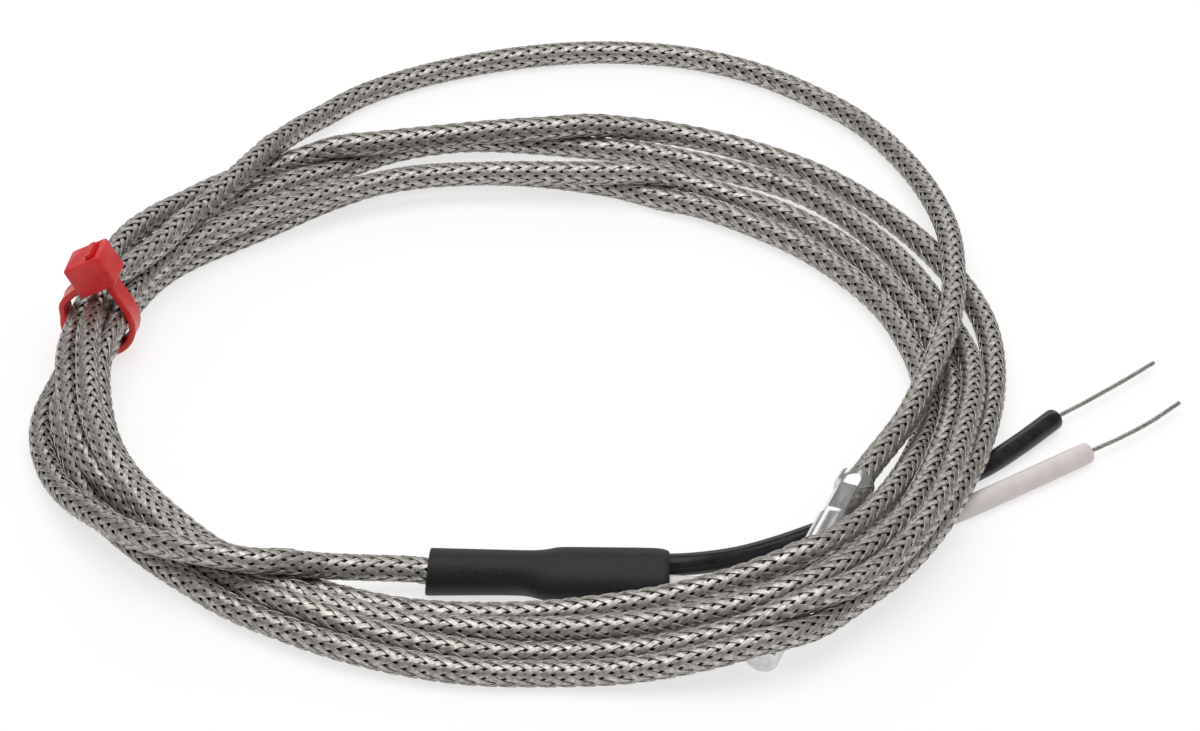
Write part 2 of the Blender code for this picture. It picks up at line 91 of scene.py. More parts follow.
def wire_nodes(material, *links):
    """Join sockets, given as pairs of an output and an input."""
    for start, end in links:
        material.node_tree.links.new(start, end)


bpy.ops.object.select_all(action="DESELECT")
bpy.ops.mesh.primitive_plane_add(size=PAPER_SIZE, location=(0.0, 0.0, -PAPER_DROP))
floor = bpy.context.object
floor.name = "paper_floor"
paper, paper_shader = plain_material("white_paper", (0.95, 0.95, 0.95), 0.9)
light_path = add_node(paper, "LightPath")
seen_first = add_node(paper, "Math", operation="MAXIMUM")
seen_at_all = add_node(paper, "Math", operation="MAXIMUM")
whitened = add_node(paper, "Math", operation="MULTIPLY")
whitened.inputs[1].default_value = PAPER_WHITENING
glow = add_node(paper, "Emission", Color=(1.0, 1.0, 1.0, 1.0), Strength=PAPER_GLOW)
paper_mix = add_node(paper, "MixShader")
wire_nodes(paper, (light_path.outputs["Is Camera Ray"], seen_first.inputs[0]),
           (light_path.outputs["Is Glossy Ray"], seen_first.inputs[1]),
           (seen_first.outputs["Value"], seen_at_all.inputs[0]),
           (light_path.outputs["Is Transmission Ray"], seen_at_all.inputs[1]),
           (seen_at_all.outputs["Value"], whitened.inputs[0]),
           (whitened.outputs["Value"], paper_mix.inputs["Fac"]),
           (paper_shader.outputs["BSDF"], paper_mix.inputs[1]),
           (glow.outputs["Emission"], paper_mix.inputs[2]),
           (paper_mix.outputs["Shader"],
            paper.node_tree.nodes["Material Output"].inputs["Surface"]))
floor.data.materials.append(paper)

world = bpy.data.worlds.new("studio")
bpy.context.scene.world = world
world.use_nodes = True
room = world.node_tree.nodes["Background"]
room.inputs["Color"].default_value = (1.0, 1.0, 1.0, 1.0)
room.inputs["Strength"].default_value = ROOM_LIGHT


def soft_lamp(name, place, size, watts):
    """A white lamp with a broad face, turned to the middle of the part."""
    lamp = bpy.data.lights.new(name, "AREA")
    lamp.shape = "RECTANGLE"
    lamp.size, lamp.size_y = size
    lamp.energy = watts
    holder = bpy.data.objects.new(name, lamp)
    bpy.context.collection.objects.link(holder)
    holder.location = place
    sight = Vector(LAMP_TARGET) - Vector(place)
    holder.rotation_euler = sight.to_track_quat("-Z", "Y").to_euler()


soft_lamp("top_box", place=(0.0, -0.05, 1.0), size=(1.3, 1.1), watts=7.2)
soft_lamp("back_box", place=(-0.45, 1.15, 0.62), size=(1.5, 0.5), watts=3.0)

bpy.context.scene.view_settings.view_transform = "Standard"

# ---- The lead
# Glass-fibre covered conductors under one bare metal braid, 3.7 mm thick. It runs from the
# heat-shrink five times through the tie, and last round the outside to the probe's mouth.
LEAD_RADIUS = 1.85
COIL_CENTRE = np.array([-55.1, 31.8])
TIE_HEADING = 194.5
TIE_HALF_WIDTH = 2.5
# Places in the tie's loop, outwards from the coil's centre and up from the floor, in mm
BOTTOM_OUTER, MIDDLE_OUTER = (65.3, 3.25), (66.35, 6.4)
BOTTOM_INNER, MIDDLE_INNER = (61.9, 3.25), (60.85, 6.4)
TOP = (63.6, 8.4)
LOOP_MIDDLE = (63.6, 5.5)
SHRINK_START = np.array([-48.1, -18.9, 3.3])
SHRINK_HEADING = math.radians(22.1)
LEAD_END_IN_SHRINK, LEAD_MIDDLE_IN_SHRINK = 14.5, 7.0
MOUTH_APPROACH = (0.6, 22.0, 7.75)
LEAD_END_IN_MOUTH = (0.15, 16.7, 7.03)
LEAD_STEP = 1.6

# Each stretch as (picture x, picture y, height in mm) along the lead, and its place in the tie
LEAD_STRETCHES = (
    # From the heat-shrink, over the front turns to the tie
    ((
        (428, 569.5, 3.3), (400, 569, 3.4), (360, 568, 3.6), (320, 567, 4.2), (290, 566, 5.2),
        (258, 563.5, 6.6), (220, 556.5, 7.6), (185, 549, 7.8), (150, 540.5, 7.2),
        (120, 529.5, 6.2), (98, 516, 5), (78, 504, 3.8), (62, 488, 2.8), (50, 468, 2.1),
        (44, 446, 1.85), (48, 424, 1.85), (56.5, 404, 1.85), (65, 380, 2.1),
    ), BOTTOM_OUTER),
    # Second turn from the outside
    ((
        (133, 262, 3.4), (152, 247, 2.4), (175, 231, 1.9), (200, 217, 1.9), (230, 204, 1.9),
        (265, 191, 1.9), (300, 179, 1.9), (340, 167, 1.9), (380, 154.5, 1.9), (400, 149.5, 1.9),
        (440, 143, 1.85), (480, 140.5, 1.85), (520, 142, 1.85), (560, 144.5, 1.85),
        (600, 147.5, 1.85), (640, 152, 1.85), (700, 164.5, 1.85), (760, 179, 1.85),
        (800, 192, 1.85), (840, 213.5, 1.9), (880, 243.5, 1.9), (910, 272, 2), (935, 305, 2.2),
        (955, 340, 2.8), (967, 372, 3.8), (969, 400, 5), (966, 422, 6), (960, 444, 7),
        (953, 466, 7.8), (944, 488, 8.4), (932, 511, 8.9), (916, 534, 9.1), (895, 556, 9),
        (868, 577, 8.7), (830, 598, 8.2), (790, 614.5, 7.6), (750, 628, 6.8), (710, 638.5, 5.9),
        (670, 646.5, 5.1), (630, 651.5, 4.5), (590, 653.5, 4), (540, 654, 3.6), (480, 652.5, 3.6),
        (440, 648, 3.8), (400, 639.5, 4.1), (360, 630.5, 4.4), (320, 617, 4.6), (280, 599, 4.6),
        (240, 583.5, 3.8), (200, 563, 2.9), (160, 539, 2.4), (130, 516, 2.7), (115.5, 500, 3.4),
        (100, 480, 4.5), (88, 460, 5.5), (79, 440, 6.1), (72.5, 419, 6.5), (69, 397, 6.7),
        (68, 372, 6.9), (69, 350, 6.8),
    ), MIDDLE_OUTER),
    # Outermost turn
    ((
        (133, 232, 5.6), (158, 218, 4.6), (180, 206.5, 3.6), (200, 195, 2.8), (220, 185.5, 2.2),
        (240, 178, 1.9), (280, 165, 2.4), (300, 159, 3), (340, 151, 4.2), (380, 143.5, 4.9),
        (440, 136.5, 5.3), (500, 131, 5.3), (560, 128.5, 5), (600, 128.5, 4.5), (640, 130, 3.9),
        (700, 139, 2.9), (760, 154.5, 2.2), (800, 168, 1.95), (840, 186.5, 1.9), (880, 211, 1.9),
        (920, 242, 1.9), (948, 270, 1.9), (970, 298, 1.9), (985, 325, 2.1), (992, 352, 2.6),
        (993.5, 380, 3.4), (991, 402, 4.2), (986, 424, 4.9), (980, 443, 5.4), (972, 463, 5.8),
        (962, 484, 6.1), (949, 508, 6.4), (932, 533, 6.6), (912, 556, 6.8), (888, 578, 7),
        (860, 596, 7.2), (820, 617, 7.3), (780, 634, 7), (740, 648, 6), (700, 658, 4.8),
        (650, 667.5, 3.4), (600, 672, 2.4), (540, 673.5, 1.9), (480, 672.5, 1.9),
        (440, 668.5, 1.9), (400, 661.5, 1.9), (360, 652, 1.9), (320, 638, 1.9), (280, 622.5, 1.9),
        (240, 606.5, 1.9), (200, 587, 1.9), (160, 563.5, 2.1), (130, 540, 2.2), (112, 521.5, 2.5),
        (97, 500, 2.9), (84, 480, 3.4), (73.5, 461, 3.9), (66.5, 442, 4.1), (62, 423, 4.2),
        (60, 402, 4),
    ), BOTTOM_INNER),
    # Innermost turn
    ((
        (150, 284, 2.6), (172, 269, 2), (200, 255, 1.9), (240, 238, 1.85), (270, 226, 1.85),
        (300, 212, 1.85), (340, 196, 1.85), (380, 183, 1.85), (420, 176.5, 1.85), (460, 174, 1.85),
        (500, 174, 1.85), (540, 176, 1.85), (580, 180.5, 1.85), (620, 186.5, 1.85),
        (660, 194.5, 1.85), (700, 205.5, 1.85), (760, 228, 1.85), (800, 246, 1.85),
        (840, 271, 1.9), (880, 304, 2), (908, 338, 2.3), (925, 368, 2.9), (935, 398, 3.8),
        (934, 420, 5), (926, 440, 6.2), (914, 461, 7.4), (898, 484, 8.4), (880, 505, 9),
        (858, 525, 9.2), (830, 543, 9), (796, 558.5, 8.4), (760, 571.5, 7.5), (720, 584.5, 6.5),
        (680, 595, 5.6), (640, 602.5, 4.8), (600, 608, 4.1), (540, 614, 3.1), (480, 615.5, 2.5),
        (440, 614.5, 2.2), (400, 611.5, 2), (360, 604.5, 1.9), (320, 596.5, 1.9),
        (285, 586.5, 1.9), (260, 577, 1.9), (240, 567, 1.9), (220, 555, 1.95), (198, 540, 2.1),
        (174, 520, 2.4), (151, 500, 2.8), (132, 480, 3.3), (117.5, 460, 3.9), (108, 440, 4.5),
        (102.5, 420, 5), (99, 400, 5.5), (98, 376, 6), (99, 356, 6.2),
    ), MIDDLE_INNER),
    # Third turn from the outside
    ((
        (143, 278, 5.9), (165, 259, 5.5), (185, 246, 5.3), (210, 234, 5.1), (240, 222, 5),
        (270, 212, 4.9), (300, 203, 4.8), (340, 192, 4.6), (380, 183.5, 4.4), (420, 177, 4.2),
        (460, 174.5, 4.1), (500, 173, 4.1), (540, 173, 4), (580, 174, 3.8), (620, 177, 3.4),
        (660, 182.5, 2.9), (700, 190, 2.4), (760, 206, 1.9), (800, 221.5, 1.9), (840, 244, 1.9),
        (880, 276, 2), (908, 305, 2.2), (932, 342, 2.8), (947, 373, 3.8), (952, 400, 5),
        (950, 422, 6.2), (943, 444, 7.4), (934, 466, 8.4), (923, 489, 9.2), (907, 514, 9.8),
        (887, 535, 10), (862, 554, 9.9), (835, 570, 9.5), (800, 586, 8.9), (760, 599.5, 8.2),
        (720, 610.5, 7.5), (680, 618.5, 6.9), (640, 624, 6.4), (600, 627.5, 6), (540, 630.5, 5.4),
        (480, 629.5, 4.8), (440, 627, 4.4), (400, 623, 4.1), (360, 613.5, 3.9), (320, 602.5, 3.9),
        (280, 588, 3.9), (240, 571, 4.2), (200, 551.5, 4.6), (178, 536, 5), (157, 520, 5.3),
        (139.5, 500, 5.7), (123.5, 480, 6.3), (110.5, 460, 7.1), (100, 440, 7.8), (93, 420, 8.2),
        (89, 399, 8.5), (88, 374, 8.7), (88, 350, 8.8),
    ), TOP),
    # Over the turns, round the back outside and over the turns to the mouth
    ((
        (160, 248, 7.3), (180, 230, 7), (200, 212, 6.9), (220, 193, 6.9), (240, 175, 6.8),
        (258, 158.5, 5.8), (280, 143, 4.3), (300, 128, 3.2), (325, 116, 2.4), (350, 101, 2),
        (400, 82.5, 1.95), (440, 72, 1.95), (500, 60.5, 1.95), (560, 54, 1.95), (600, 52.5, 1.95),
        (650, 54, 1.95), (700, 60, 1.95), (760, 75, 1.95), (800, 91, 1.95), (850, 116.5, 1.95),
        (885, 143, 2), (915, 174, 2.6), (936, 205, 3.8), (948, 232, 5), (953, 262, 6),
        (954, 290, 6.5), (951, 312, 6.8), (944, 338, 7), (933, 365, 7.2), (919, 396, 7.6),
        (904, 423, 7.9),
    ), None),
)


def places_seen(rows):
    """Places in mm for rows of (picture x, picture y, height above the floor in mm)."""
    rows = np.array(rows, float)
    sideways = (rows[:, 0] - PICTURE_WIDTH / 2) / PICTURE_WIDTH * CAMERA_SENSOR / CAMERA_LENS
    upwards = (PICTURE_HEIGHT / 2 - rows[:, 1]) / PICTURE_WIDTH * CAMERA_SENSOR / CAMERA_LENS
    sight = np.stack([sideways, upwards, -np.ones(len(rows))], 1)
    sight = sight @ np.array(camera_turn.to_matrix()).T
    eye = np.array(CAMERA_PLACE) / MM
    return eye + sight * ((rows[:, 2] - eye[2]) / sight[:, 2])[:, None]


def polar_place(radius, height, heading):
    """A place by its distance and heading in degrees from the coil's centre, and its height."""
    turn = math.radians(heading)
    return [COIL_CENTRE[0] + radius * math.cos(turn), COIL_CENTRE[1] + radius * math.sin(turn),
            height]


def smooth_line(points, step):
    """Points about a step apart on a smooth curve through the given ones."""
    points = np.array(points, float)
    ends = np.vstack([2 * points[0] - points[1], points, 2 * points[-1] - points[-2]])
    line, marks = [points[0]], [0.0]
    for index in range(len(points) - 1):
        a, b, c, d = ends[index:index + 4]
        knots = np.cumsum([0.0] + [np.linalg.norm(q - p) ** 0.5
                                   for p, q in ((a, b), (b, c), (c, d))])
        pieces = max(1, round(np.linalg.norm(c - b) / step))
        for piece in range(1, pieces + 1):
            t = knots[1] + (knots[2] - knots[1]) * piece / pieces

            def between(p, q, start, end):
                return (end - t) / (end - start) * p + (t - start) / (end - start) * q

            first = between(a, b, knots[0], knots[1])
            second = between(b, c, knots[1], knots[2])
            third = between(c, d, knots[2], knots[3])
            line.append(between(between(first, second, knots[0], knots[2]),
                                between(second, third, knots[1], knots[3]), knots[1], knots[2]))
            marks.append(index + piece / pieces)
    return np.array(line), np.array(marks)


def distance_along(line):
    """How far along the line each of its points is."""
    return np.concatenate([[0.0], np.cumsum(np.linalg.norm(np.diff(line, axis=0), axis=1))])


def evened(values):
    """How far each row would move to reach the weighted mean of its near neighbours."""
    weights = np.array([1, 2, 3, 4, 3, 2, 1]) / 16
    padded = np.pad(values, ((3, 3), (0, 0)), mode="reflect", reflect_type="odd")
    return sum(weight * padded[shift:shift + len(values)]
               for shift, weight in enumerate(weights)) - values


# How the lead settles: mm of its own line that aren't another turn, how near two turns may lie,
# and in each round how much it evens out, is drawn back to its line of sight, sinks and is pushed
OWN_STRETCH = 12.0
TURN_SPACING = 2 * LEAD_RADIUS - 0.04
ROUNDS, SINKING_ROUNDS = 500, 425
SMOOTHING, EVENING, DRAWING_BACK, SINKING, PUSHING = 0.6, 0.5, 0.1, 0.01, 1.2
ROD_GAP, FLOOR_GAP = 0.01, 0.02


def settle_lead(line, held, rods):
    """Let the turns push each other a diameter apart, keep off the rods and lie on the floor.

    The lead is stiff, so it moves in long soft humps, and each point stays near its line of sight.
    """
    free = (~held).astype(float)[:, None]
    line = line.copy()
    for turn in range(6):
        line += SMOOTHING * free * evened(line)
        line -= SMOOTHING * free * evened(line)
    along = distance_along(line)
    sight = np.array(CAMERA_PLACE) / MM - line
    sight /= np.linalg.norm(sight, axis=1)[:, None]
    apart = np.linalg.norm(line[:, None] - line[None], axis=2)
    strangers = np.abs(along[:, None] - along[None]) > OWN_STRETCH
    one, other = np.where(np.triu((apart < OWN_STRETCH) & strangers))
    share = free[one] / np.maximum(free[one] + free[other], 1e-9)
    settled = line.copy()
    for turn in range(ROUNDS):
        settled += EVENING * free * evened(settled - line)
        drift = line - settled
        drift -= sight * np.einsum("ij,ij->i", drift, sight)[:, None]
        settled += DRAWING_BACK * free * drift
        if turn < SINKING_ROUNDS:
            settled[:, 2:] -= SINKING * free
        offset = settled[one] - settled[other]
        reach = np.linalg.norm(offset, axis=1)[:, None]
        push = offset * np.maximum(0.0, TURN_SPACING - reach) / np.maximum(reach, 1e-6)
        touching = (reach < TURN_SPACING)[:, 0]
        moved, touches = np.zeros_like(settled), np.zeros((len(settled), 1))
        np.add.at(moved, one[touching], (push * share)[touching])
        np.add.at(moved, other[touching], -(push * (1 - share))[touching])
        np.add.at(touches, one[touching], 1)
        np.add.at(touches, other[touching], 1)
        settled += PUSHING * free * moved / np.maximum(touches, 1)
        for start, end, radius in rods:
            rod = end - start
            share_along = np.clip((settled - start) @ rod / (rod @ rod), 0, 1)
            offset = settled - (start + share_along[:, None] * rod)
            reach = np.linalg.norm(offset, axis=1)[:, None]
            short = np.maximum(0.0, radius + LEAD_RADIUS + ROD_GAP - reach)
            settled += free * offset * short / np.maximum(reach, 1e-6)
        lowest = np.maximum(settled[:, 2], LEAD_RADIUS + FLOOR_GAP)
        settled[:, 2] = np.where(held, settled[:, 2], lowest)
    return settled


shrink_along = np.array([math.cos(SHRINK_HEADING), math.sin(SHRINK_HEADING), 0.0])
lead_points = [SHRINK_START + shrink_along * LEAD_END_IN_SHRINK,
               SHRINK_START + shrink_along * LEAD_MIDDLE_IN_SHRINK, SHRINK_START]
lead_held = [True, True, True]
for seen, slot in LEAD_STRETCHES:
    stretch = places_seen(seen)
    lead_points += list(stretch)
    lead_held += [False] * len(stretch)
    if slot:
        lead_points += [polar_place(*slot, TIE_HEADING + TIE_HALF_WIDTH),
                        polar_place(*slot, TIE_HEADING - TIE_HALF_WIDTH)]
        lead_held += [True, True]
lead_points += [MOUTH_APPROACH, LEAD_END_IN_MOUTH]
lead_held += [True, True]
lead_line, marks = smooth_line(lead_points, LEAD_STEP)
# A point of the line is held when the places before and after it are
held_at = np.array(lead_held)
lead_fixed = held_at[np.floor(marks + 0.05).astype(int)] & held_at[
    np.minimum(np.ceil(marks - 0.05).astype(int), len(held_at) - 1)]

# What the turns lie against: the probe, the two tails in their sleeves and the heat-shrink
PROBE_RADIUS, SLEEVE_RADIUS = 2.5, 1.55
PROBE_LINE = ((0.0, -18.4, 2.4), (0.0, 18.3, 7.2))
SHRINK_ROD_ENDS, SHRINK_ROD_SIDE, SHRINK_ROD_RADIUS = (16.0, 31.5), 1.1, 3.15
BLACK_SLEEVE_ROUTE = (
    (-14.8, -2.3, 3.1), (-10.8, 2.2, 2.2), (-7.4, 6.6, 1.8), (-4.1, 11.3, 1.6),
    (0.8, 18.5, 1.6), (6.6, 26.8, 1.6), (12.4, 35.8, 1.6), (15.4, 43.3, 1.6),
    (17.1, 48.6, 1.6), (18.0, 51.5, 1.6),
)
WHITE_SLEEVE_ROUTE = (
    (-13.6, -6.4, 2.1), (-9.3, -3.0, 1.8), (-6.0, 0.6, 1.6), (-3.0, 4.2, 1.6),
    (3.0, 11.8, 1.6), (9.0, 19.4, 1.6), (13.4, 25.7, 1.6), (17.0, 31.6, 1.6),
    (20.4, 37.4, 1.6), (25.0, 45.3, 1.6),
)
shrink_across = np.array([-shrink_along[1], shrink_along[0], 0.0])
rods = [(np.array(PROBE_LINE[0]), np.array(PROBE_LINE[1]), PROBE_RADIUS)]
for side in (-SHRINK_ROD_SIDE, SHRINK_ROD_SIDE):
    rods.append((*[SHRINK_START + shrink_along * end + shrink_across * side
                   for end in SHRINK_ROD_ENDS], SHRINK_ROD_RADIUS))
for route in (BLACK_SLEEVE_ROUTE, WHITE_SLEEVE_ROUTE):
    for start, end in zip(route, route[1:]):
        rods.append((np.array(start), np.array(end), SLEEVE_RADIUS))
lead_line = settle_lead(lead_line, lead_fixed, rods)


def read_along(values, along, places):
    """The rows of values, which belong to distances along a line, at other places on it."""
    return np.stack([np.interp(places, along, values[:, axis]) for axis in range(3)], -1)


def even_line(line, step):
    """The same line with its points an equal step apart."""
    along = distance_along(line)
    places = np.linspace(0.0, along[-1], max(2, round(along[-1] / step)) + 1)
    return read_along(line, along, places)


def carried_frames(line):
    """Two directions square to the line at each point, carried along it without twisting."""
    heading = np.gradient(line, axis=0)
    heading /= np.linalg.norm(heading, axis=1)[:, None]
    side = np.cross(heading[0], (0.0, 0.0, 1.0))
    sides = []
    for ahead in heading:
        side = side - ahead * (side @ ahead)
        side = side / np.linalg.norm(side)
        sides.append(side)
    sides = np.array(sides)
    return sides, np.cross(heading, sides)


def mesh_piece(name, vertices, faces, material):
    """A finished piece from points in mm, at the origin, riding on the part's one body."""
    mesh = bpy.data.meshes.new(name)
    mesh.from_pydata((np.asarray(vertices) * MM).tolist(), [], faces)
    mesh.materials.append(material)
    mesh.shade_smooth()
    piece = bpy.data.objects.new(name, mesh)
    bpy.context.collection.objects.link(piece)
    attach(piece, "root")
    return piece


def ring_faces(rings, sides, closed=False):
    """Four-sided faces between rings of points, with a cap on each end unless it's closed."""
    faces = []
    for row in range(rings if closed else rings - 1):
        here, there = row * sides, (row + 1) % rings * sides
        faces += [(here + side, here + (side + 1) % sides, there + (side + 1) % sides,
                   there + side) for side in range(sides)]
    if not closed:
        faces.append(tuple(reversed(range(sides))))
        faces.append(tuple(range((rings - 1) * sides, rings * sides)))
    return faces


def tube_points(line, radii, sides):
    """Round rings along the line, one radius for each of its points."""
    side, up = carried_frames(line)
    angles = np.linspace(0.0, 2 * math.pi, sides, endpoint=False)
    spokes = (side[:, None] * np.cos(angles)[None, :, None]
              + up[:, None] * np.sin(angles)[None, :, None])
    return (line[:, None] + spokes * np.asarray(radii)[:, None, None]).reshape(-1, 3)


def noise_on(material, scale, detail=3.0, roughness=0.6, stretch=(1.0, 1.0, 1.0)):
    """Noise that sits on the piece's own coordinates; the scale is in ripples per metre."""
    place = add_node(material, "TexCoord")
    mapping = add_node(material, "Mapping", Scale=stretch)
    noise = add_node(material, "TexNoise", Scale=scale, Detail=detail, Roughness=roughness)
    wire_nodes(material, (place.outputs["Object"], mapping.inputs["Vector"]),
               (mapping.outputs["Vector"], noise.inputs["Vector"]))
    return noise.outputs["Fac"]


def blend_colours(material, factor, low, high, start=0.35, end=0.65):
    """A colour that runs from low to high as the factor runs from start to end."""
    ramp = add_node(material, "ValToRGB")
    ramp.color_ramp.elements[0].position = start
    ramp.color_ramp.elements[0].color = (*low, 1.0)
    ramp.color_ramp.elements[1].position = end
    ramp.color_ramp.elements[1].color = (*high, 1.0)
    wire_nodes(material, (factor, ramp.inputs["Fac"]))
    return ramp.outputs["Color"]


def vary(material, factor, low, high):
    """A number that runs from low to high as the factor runs from 0.3 to 0.7."""
    spread = add_node(material, "MapRange")
    for socket, value in (("From Min", 0.3), ("From Max", 0.7), ("To Min", low), ("To Max", high)):
        spread.inputs[socket].default_value = value
    wire_nodes(material, (factor, spread.inputs["Value"]))
    return spread.outputs["Result"]


def shade(material, shader, factor, low, high, roughness=None):
    """Wire in a colour, and a roughness where its ends are given, that follow the factor."""
    links = [(blend_colours(material, factor, low, high), shader.inputs["Base Color"])]
    if roughness:
        links.append((vary(material, factor, *roughness), shader.inputs["Roughness"]))
    wire_nodes(material, *links)


# The layer under the braid, painted near black as painted shade where it shows through the braid's
# small openings
CORE_RADIUS, CORE_STEP, CORE_SIDES = 1.36, 2.4, 12
core_shade_material, core_shader = plain_material("glass_layer_painted_shade", (0.02, 0.018, 0.016), 0.8)
# Painted shade: a near-black colour that varies at random with the noise
shade(core_shade_material, core_shader, noise_on(core_shade_material, 1800.0),
      (0.008, 0.007, 0.006), (0.03, 0.027, 0.024))
core_line = even_line(lead_line, CORE_STEP)
core_points = tube_points(core_line, [CORE_RADIUS] * len(core_line), CORE_SIDES)
lead_core = mesh_piece("lead_core", core_points, ring_faces(len(core_line), CORE_SIDES),
                       core_shade_material)
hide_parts("lead_coil", "lead_outer_loop", "lead_start_run")

# The braid: eight flat carriers each way round, over two and under two, four wires in each
BRAID_LAY = 20.8
CARRIERS = 8
CARRIER_WIDTH = 0.71
CARRIER_THICKNESS = 0.2
CARRIER_POINTS, CARRIER_UNDERSIDE = 9, 0.92
BRAID_MIDDLE = 1.57
BRAID_RISE = 0.14
WIRE_RISE = 0.055
WEAVE_SQUARENESS = 1.5
STEPS_IN_LAY = 24
BRAID_PIECES = 8
TIE_SQUEEZE, SQUEEZE_REACH, SQUEEZE_FADE = 0.93, 10.0, 4.0

braid_line = even_line(lead_line, BRAID_LAY / STEPS_IN_LAY)
braid_along = distance_along(braid_line)
braid_side, braid_up = carried_frames(braid_line)
tie_place = np.array(polar_place(*LOOP_MIDDLE, TIE_HEADING))
from_tie = np.linalg.norm(braid_line - tie_place, axis=1)
squeeze = 1.0 - (1.0 - TIE_SQUEEZE) * np.clip((SQUEEZE_REACH - from_tie) / SQUEEZE_FADE, 0.0, 1.0)
ribbon_across = [CARRIER_WIDTH * (place / (CARRIER_POINTS - 1) - 0.5)
                 for place in range(CARRIER_POINTS)]
ribbon_outer = [CARRIER_THICKNESS / 2 + (WIRE_RISE if place % 2 else 0.0)
                for place in range(CARRIER_POINTS)]
ribbon_across += [side * CARRIER_UNDERSIDE * CARRIER_WIDTH / 2 for side in (1, -1)]
ribbon_outer += [-CARRIER_THICKNESS / 2] * 2
ribbon_across, ribbon_outer = np.array(ribbon_across), np.array(ribbon_outer)
braid_slope = math.atan(2 * math.pi * BRAID_MIDDLE / BRAID_LAY)


def carrier_points(way, carrier, start, end):
    """One flat carrier between two distances along the lead; way is 1 or -1.

    It passes over two carriers of the other way round and under the next two.
    """
    count = max(2, round((end - start) / BRAID_LAY * STEPS_IN_LAY) + 1)
    along = np.linspace(start, end, count)
    crossing = 2 * carrier + way * 2 * CARRIERS * along / BRAID_LAY
    over = np.cos(math.pi / 2 * (crossing - (0.5 if way > 0 else 2.5)))
    over = np.tanh(WEAVE_SQUARENESS * over) / math.tanh(WEAVE_SQUARENESS)
    angle = 2 * math.pi * (carrier / CARRIERS + way * along / BRAID_LAY)
    radius = (BRAID_MIDDLE + BRAID_RISE * over)[:, None] + ribbon_outer[None]
    turned = angle[:, None] + ribbon_across[None] * math.cos(braid_slope) / BRAID_MIDDLE
    place = along[:, None] - way * ribbon_across[None] * math.sin(braid_slope)
    place = np.clip(place, 0.0, braid_along[-1])
    radius = radius * np.interp(place, braid_along, squeeze)
    centre, side, up = (read_along(values, braid_along, place)
                        for values in (braid_line, braid_side, braid_up))
    points = centre + radius[..., None] * (
        side * np.cos(turned)[..., None] + up * np.sin(turned)[..., None])
    return points.reshape(-1, 3), count


braid_material, braid_shader = plain_material("bare_metal_braid", (0.46, 0.45, 0.43), 0.42, 1.0)
tarnish = noise_on(braid_material, 1400.0, 2.0)
shade(braid_material, braid_shader, tarnish, (0.34, 0.32, 0.295), (0.64, 0.61, 0.57),
      (0.52, 0.38))

for number in range(BRAID_PIECES):
    start = braid_along[-1] * number / BRAID_PIECES
    end = braid_along[-1] * (number + 1) / BRAID_PIECES
    points, faces, first = [], [], 0
    for way in (1, -1):
        for carrier in range(CARRIERS):
            strip, count = carrier_points(way, carrier, start, end)
            faces += [tuple(first + corner for corner in face)
                      for face in ring_faces(count, len(ribbon_across))]
            points.append(strip)
            first += len(strip)
    braid = mesh_piece(f"lead_braid_{number + 1}", np.concatenate(points), faces, braid_material)
    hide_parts("lead_coil", "lead_outer_loop", "lead_start_run")

# ---- The heat-shrink
# A matt black polyolefin sleeve shrunk over the end of the braid and the start of the two tails.
# It is round over the lead and steps out to an oval where the tails lie side by side.
SHRINK_LENGTH = 33.0
SHRINK_WALL = 0.6
SHRINK_STATIONS = (
    (0.0, 3.2, 3.2), (0.25, 3.26, 3.26), (0.9, 3.27, 3.27), (3.0, 3.22, 3.22),
    (7.0, 3.16, 3.16), (11.5, 3.1, 3.1), (13.2, 3.16, 3.1), (14.6, 3.5, 3.0),
    (16.0, 3.9, 2.92), (17.4, 4.08, 2.86), (20.0, 4.1, 2.84), (24.0, 4.1, 2.82),
    (28.5, 4.1, 2.82), (31.0, 4.08, 2.8), (32.3, 3.9, 2.7), (SHRINK_LENGTH, 3.5, 2.4),
)
# The oval's turn and drop towards the tails, and where along the sleeve they come in
TAILS_TILT, TAILS_DROP = math.radians(21.0), 0.25
TILT_START, TILT_LENGTH = 11.0, 6.0
# The waist between the tails, the dimple at the step, and how the step and the end run aslant
WAIST_DEPTH, WAIST_WIDTH, WAIST_START, WAIST_FADE = 0.22, 1.1, 13.0, 4.0
DIMPLE_DEPTH, DIMPLE_PLACE, DIMPLE_LENGTH, DIMPLE_SPREAD = 0.5, (-3.0, -1.1, 14.6), 1.3, 1.8
SLANT_REACH, SLANT_TOWARDS = 3.2, (0.56, 0.83)
STEP_SLANT, STEP_PLACE, STEP_SPREAD = 1.4, 14.5, 3.0
END_SLANT, END_SPREAD = 0.33, 1.5


def start_piece():
    """Nothing is selected, so that an operator works on the new piece alone."""
    bpy.ops.object.select_all(action="DESELECT")


def pick_piece(piece):
    """Only this piece is selected and active."""
    start_piece()
    piece.select_set(True)
    bpy.context.view_layer.objects.active = piece


def turn_faces_out(piece):
    """Turn the faces of a closed or even skin the same way, outwards."""
    pick_piece(piece)
    bpy.ops.object.mode_set(mode="EDIT")
    bpy.ops.mesh.select_all(action="SELECT")
    bpy.ops.mesh.normals_make_consistent(inside=False)
    bpy.ops.object.mode_set(mode="OBJECT")


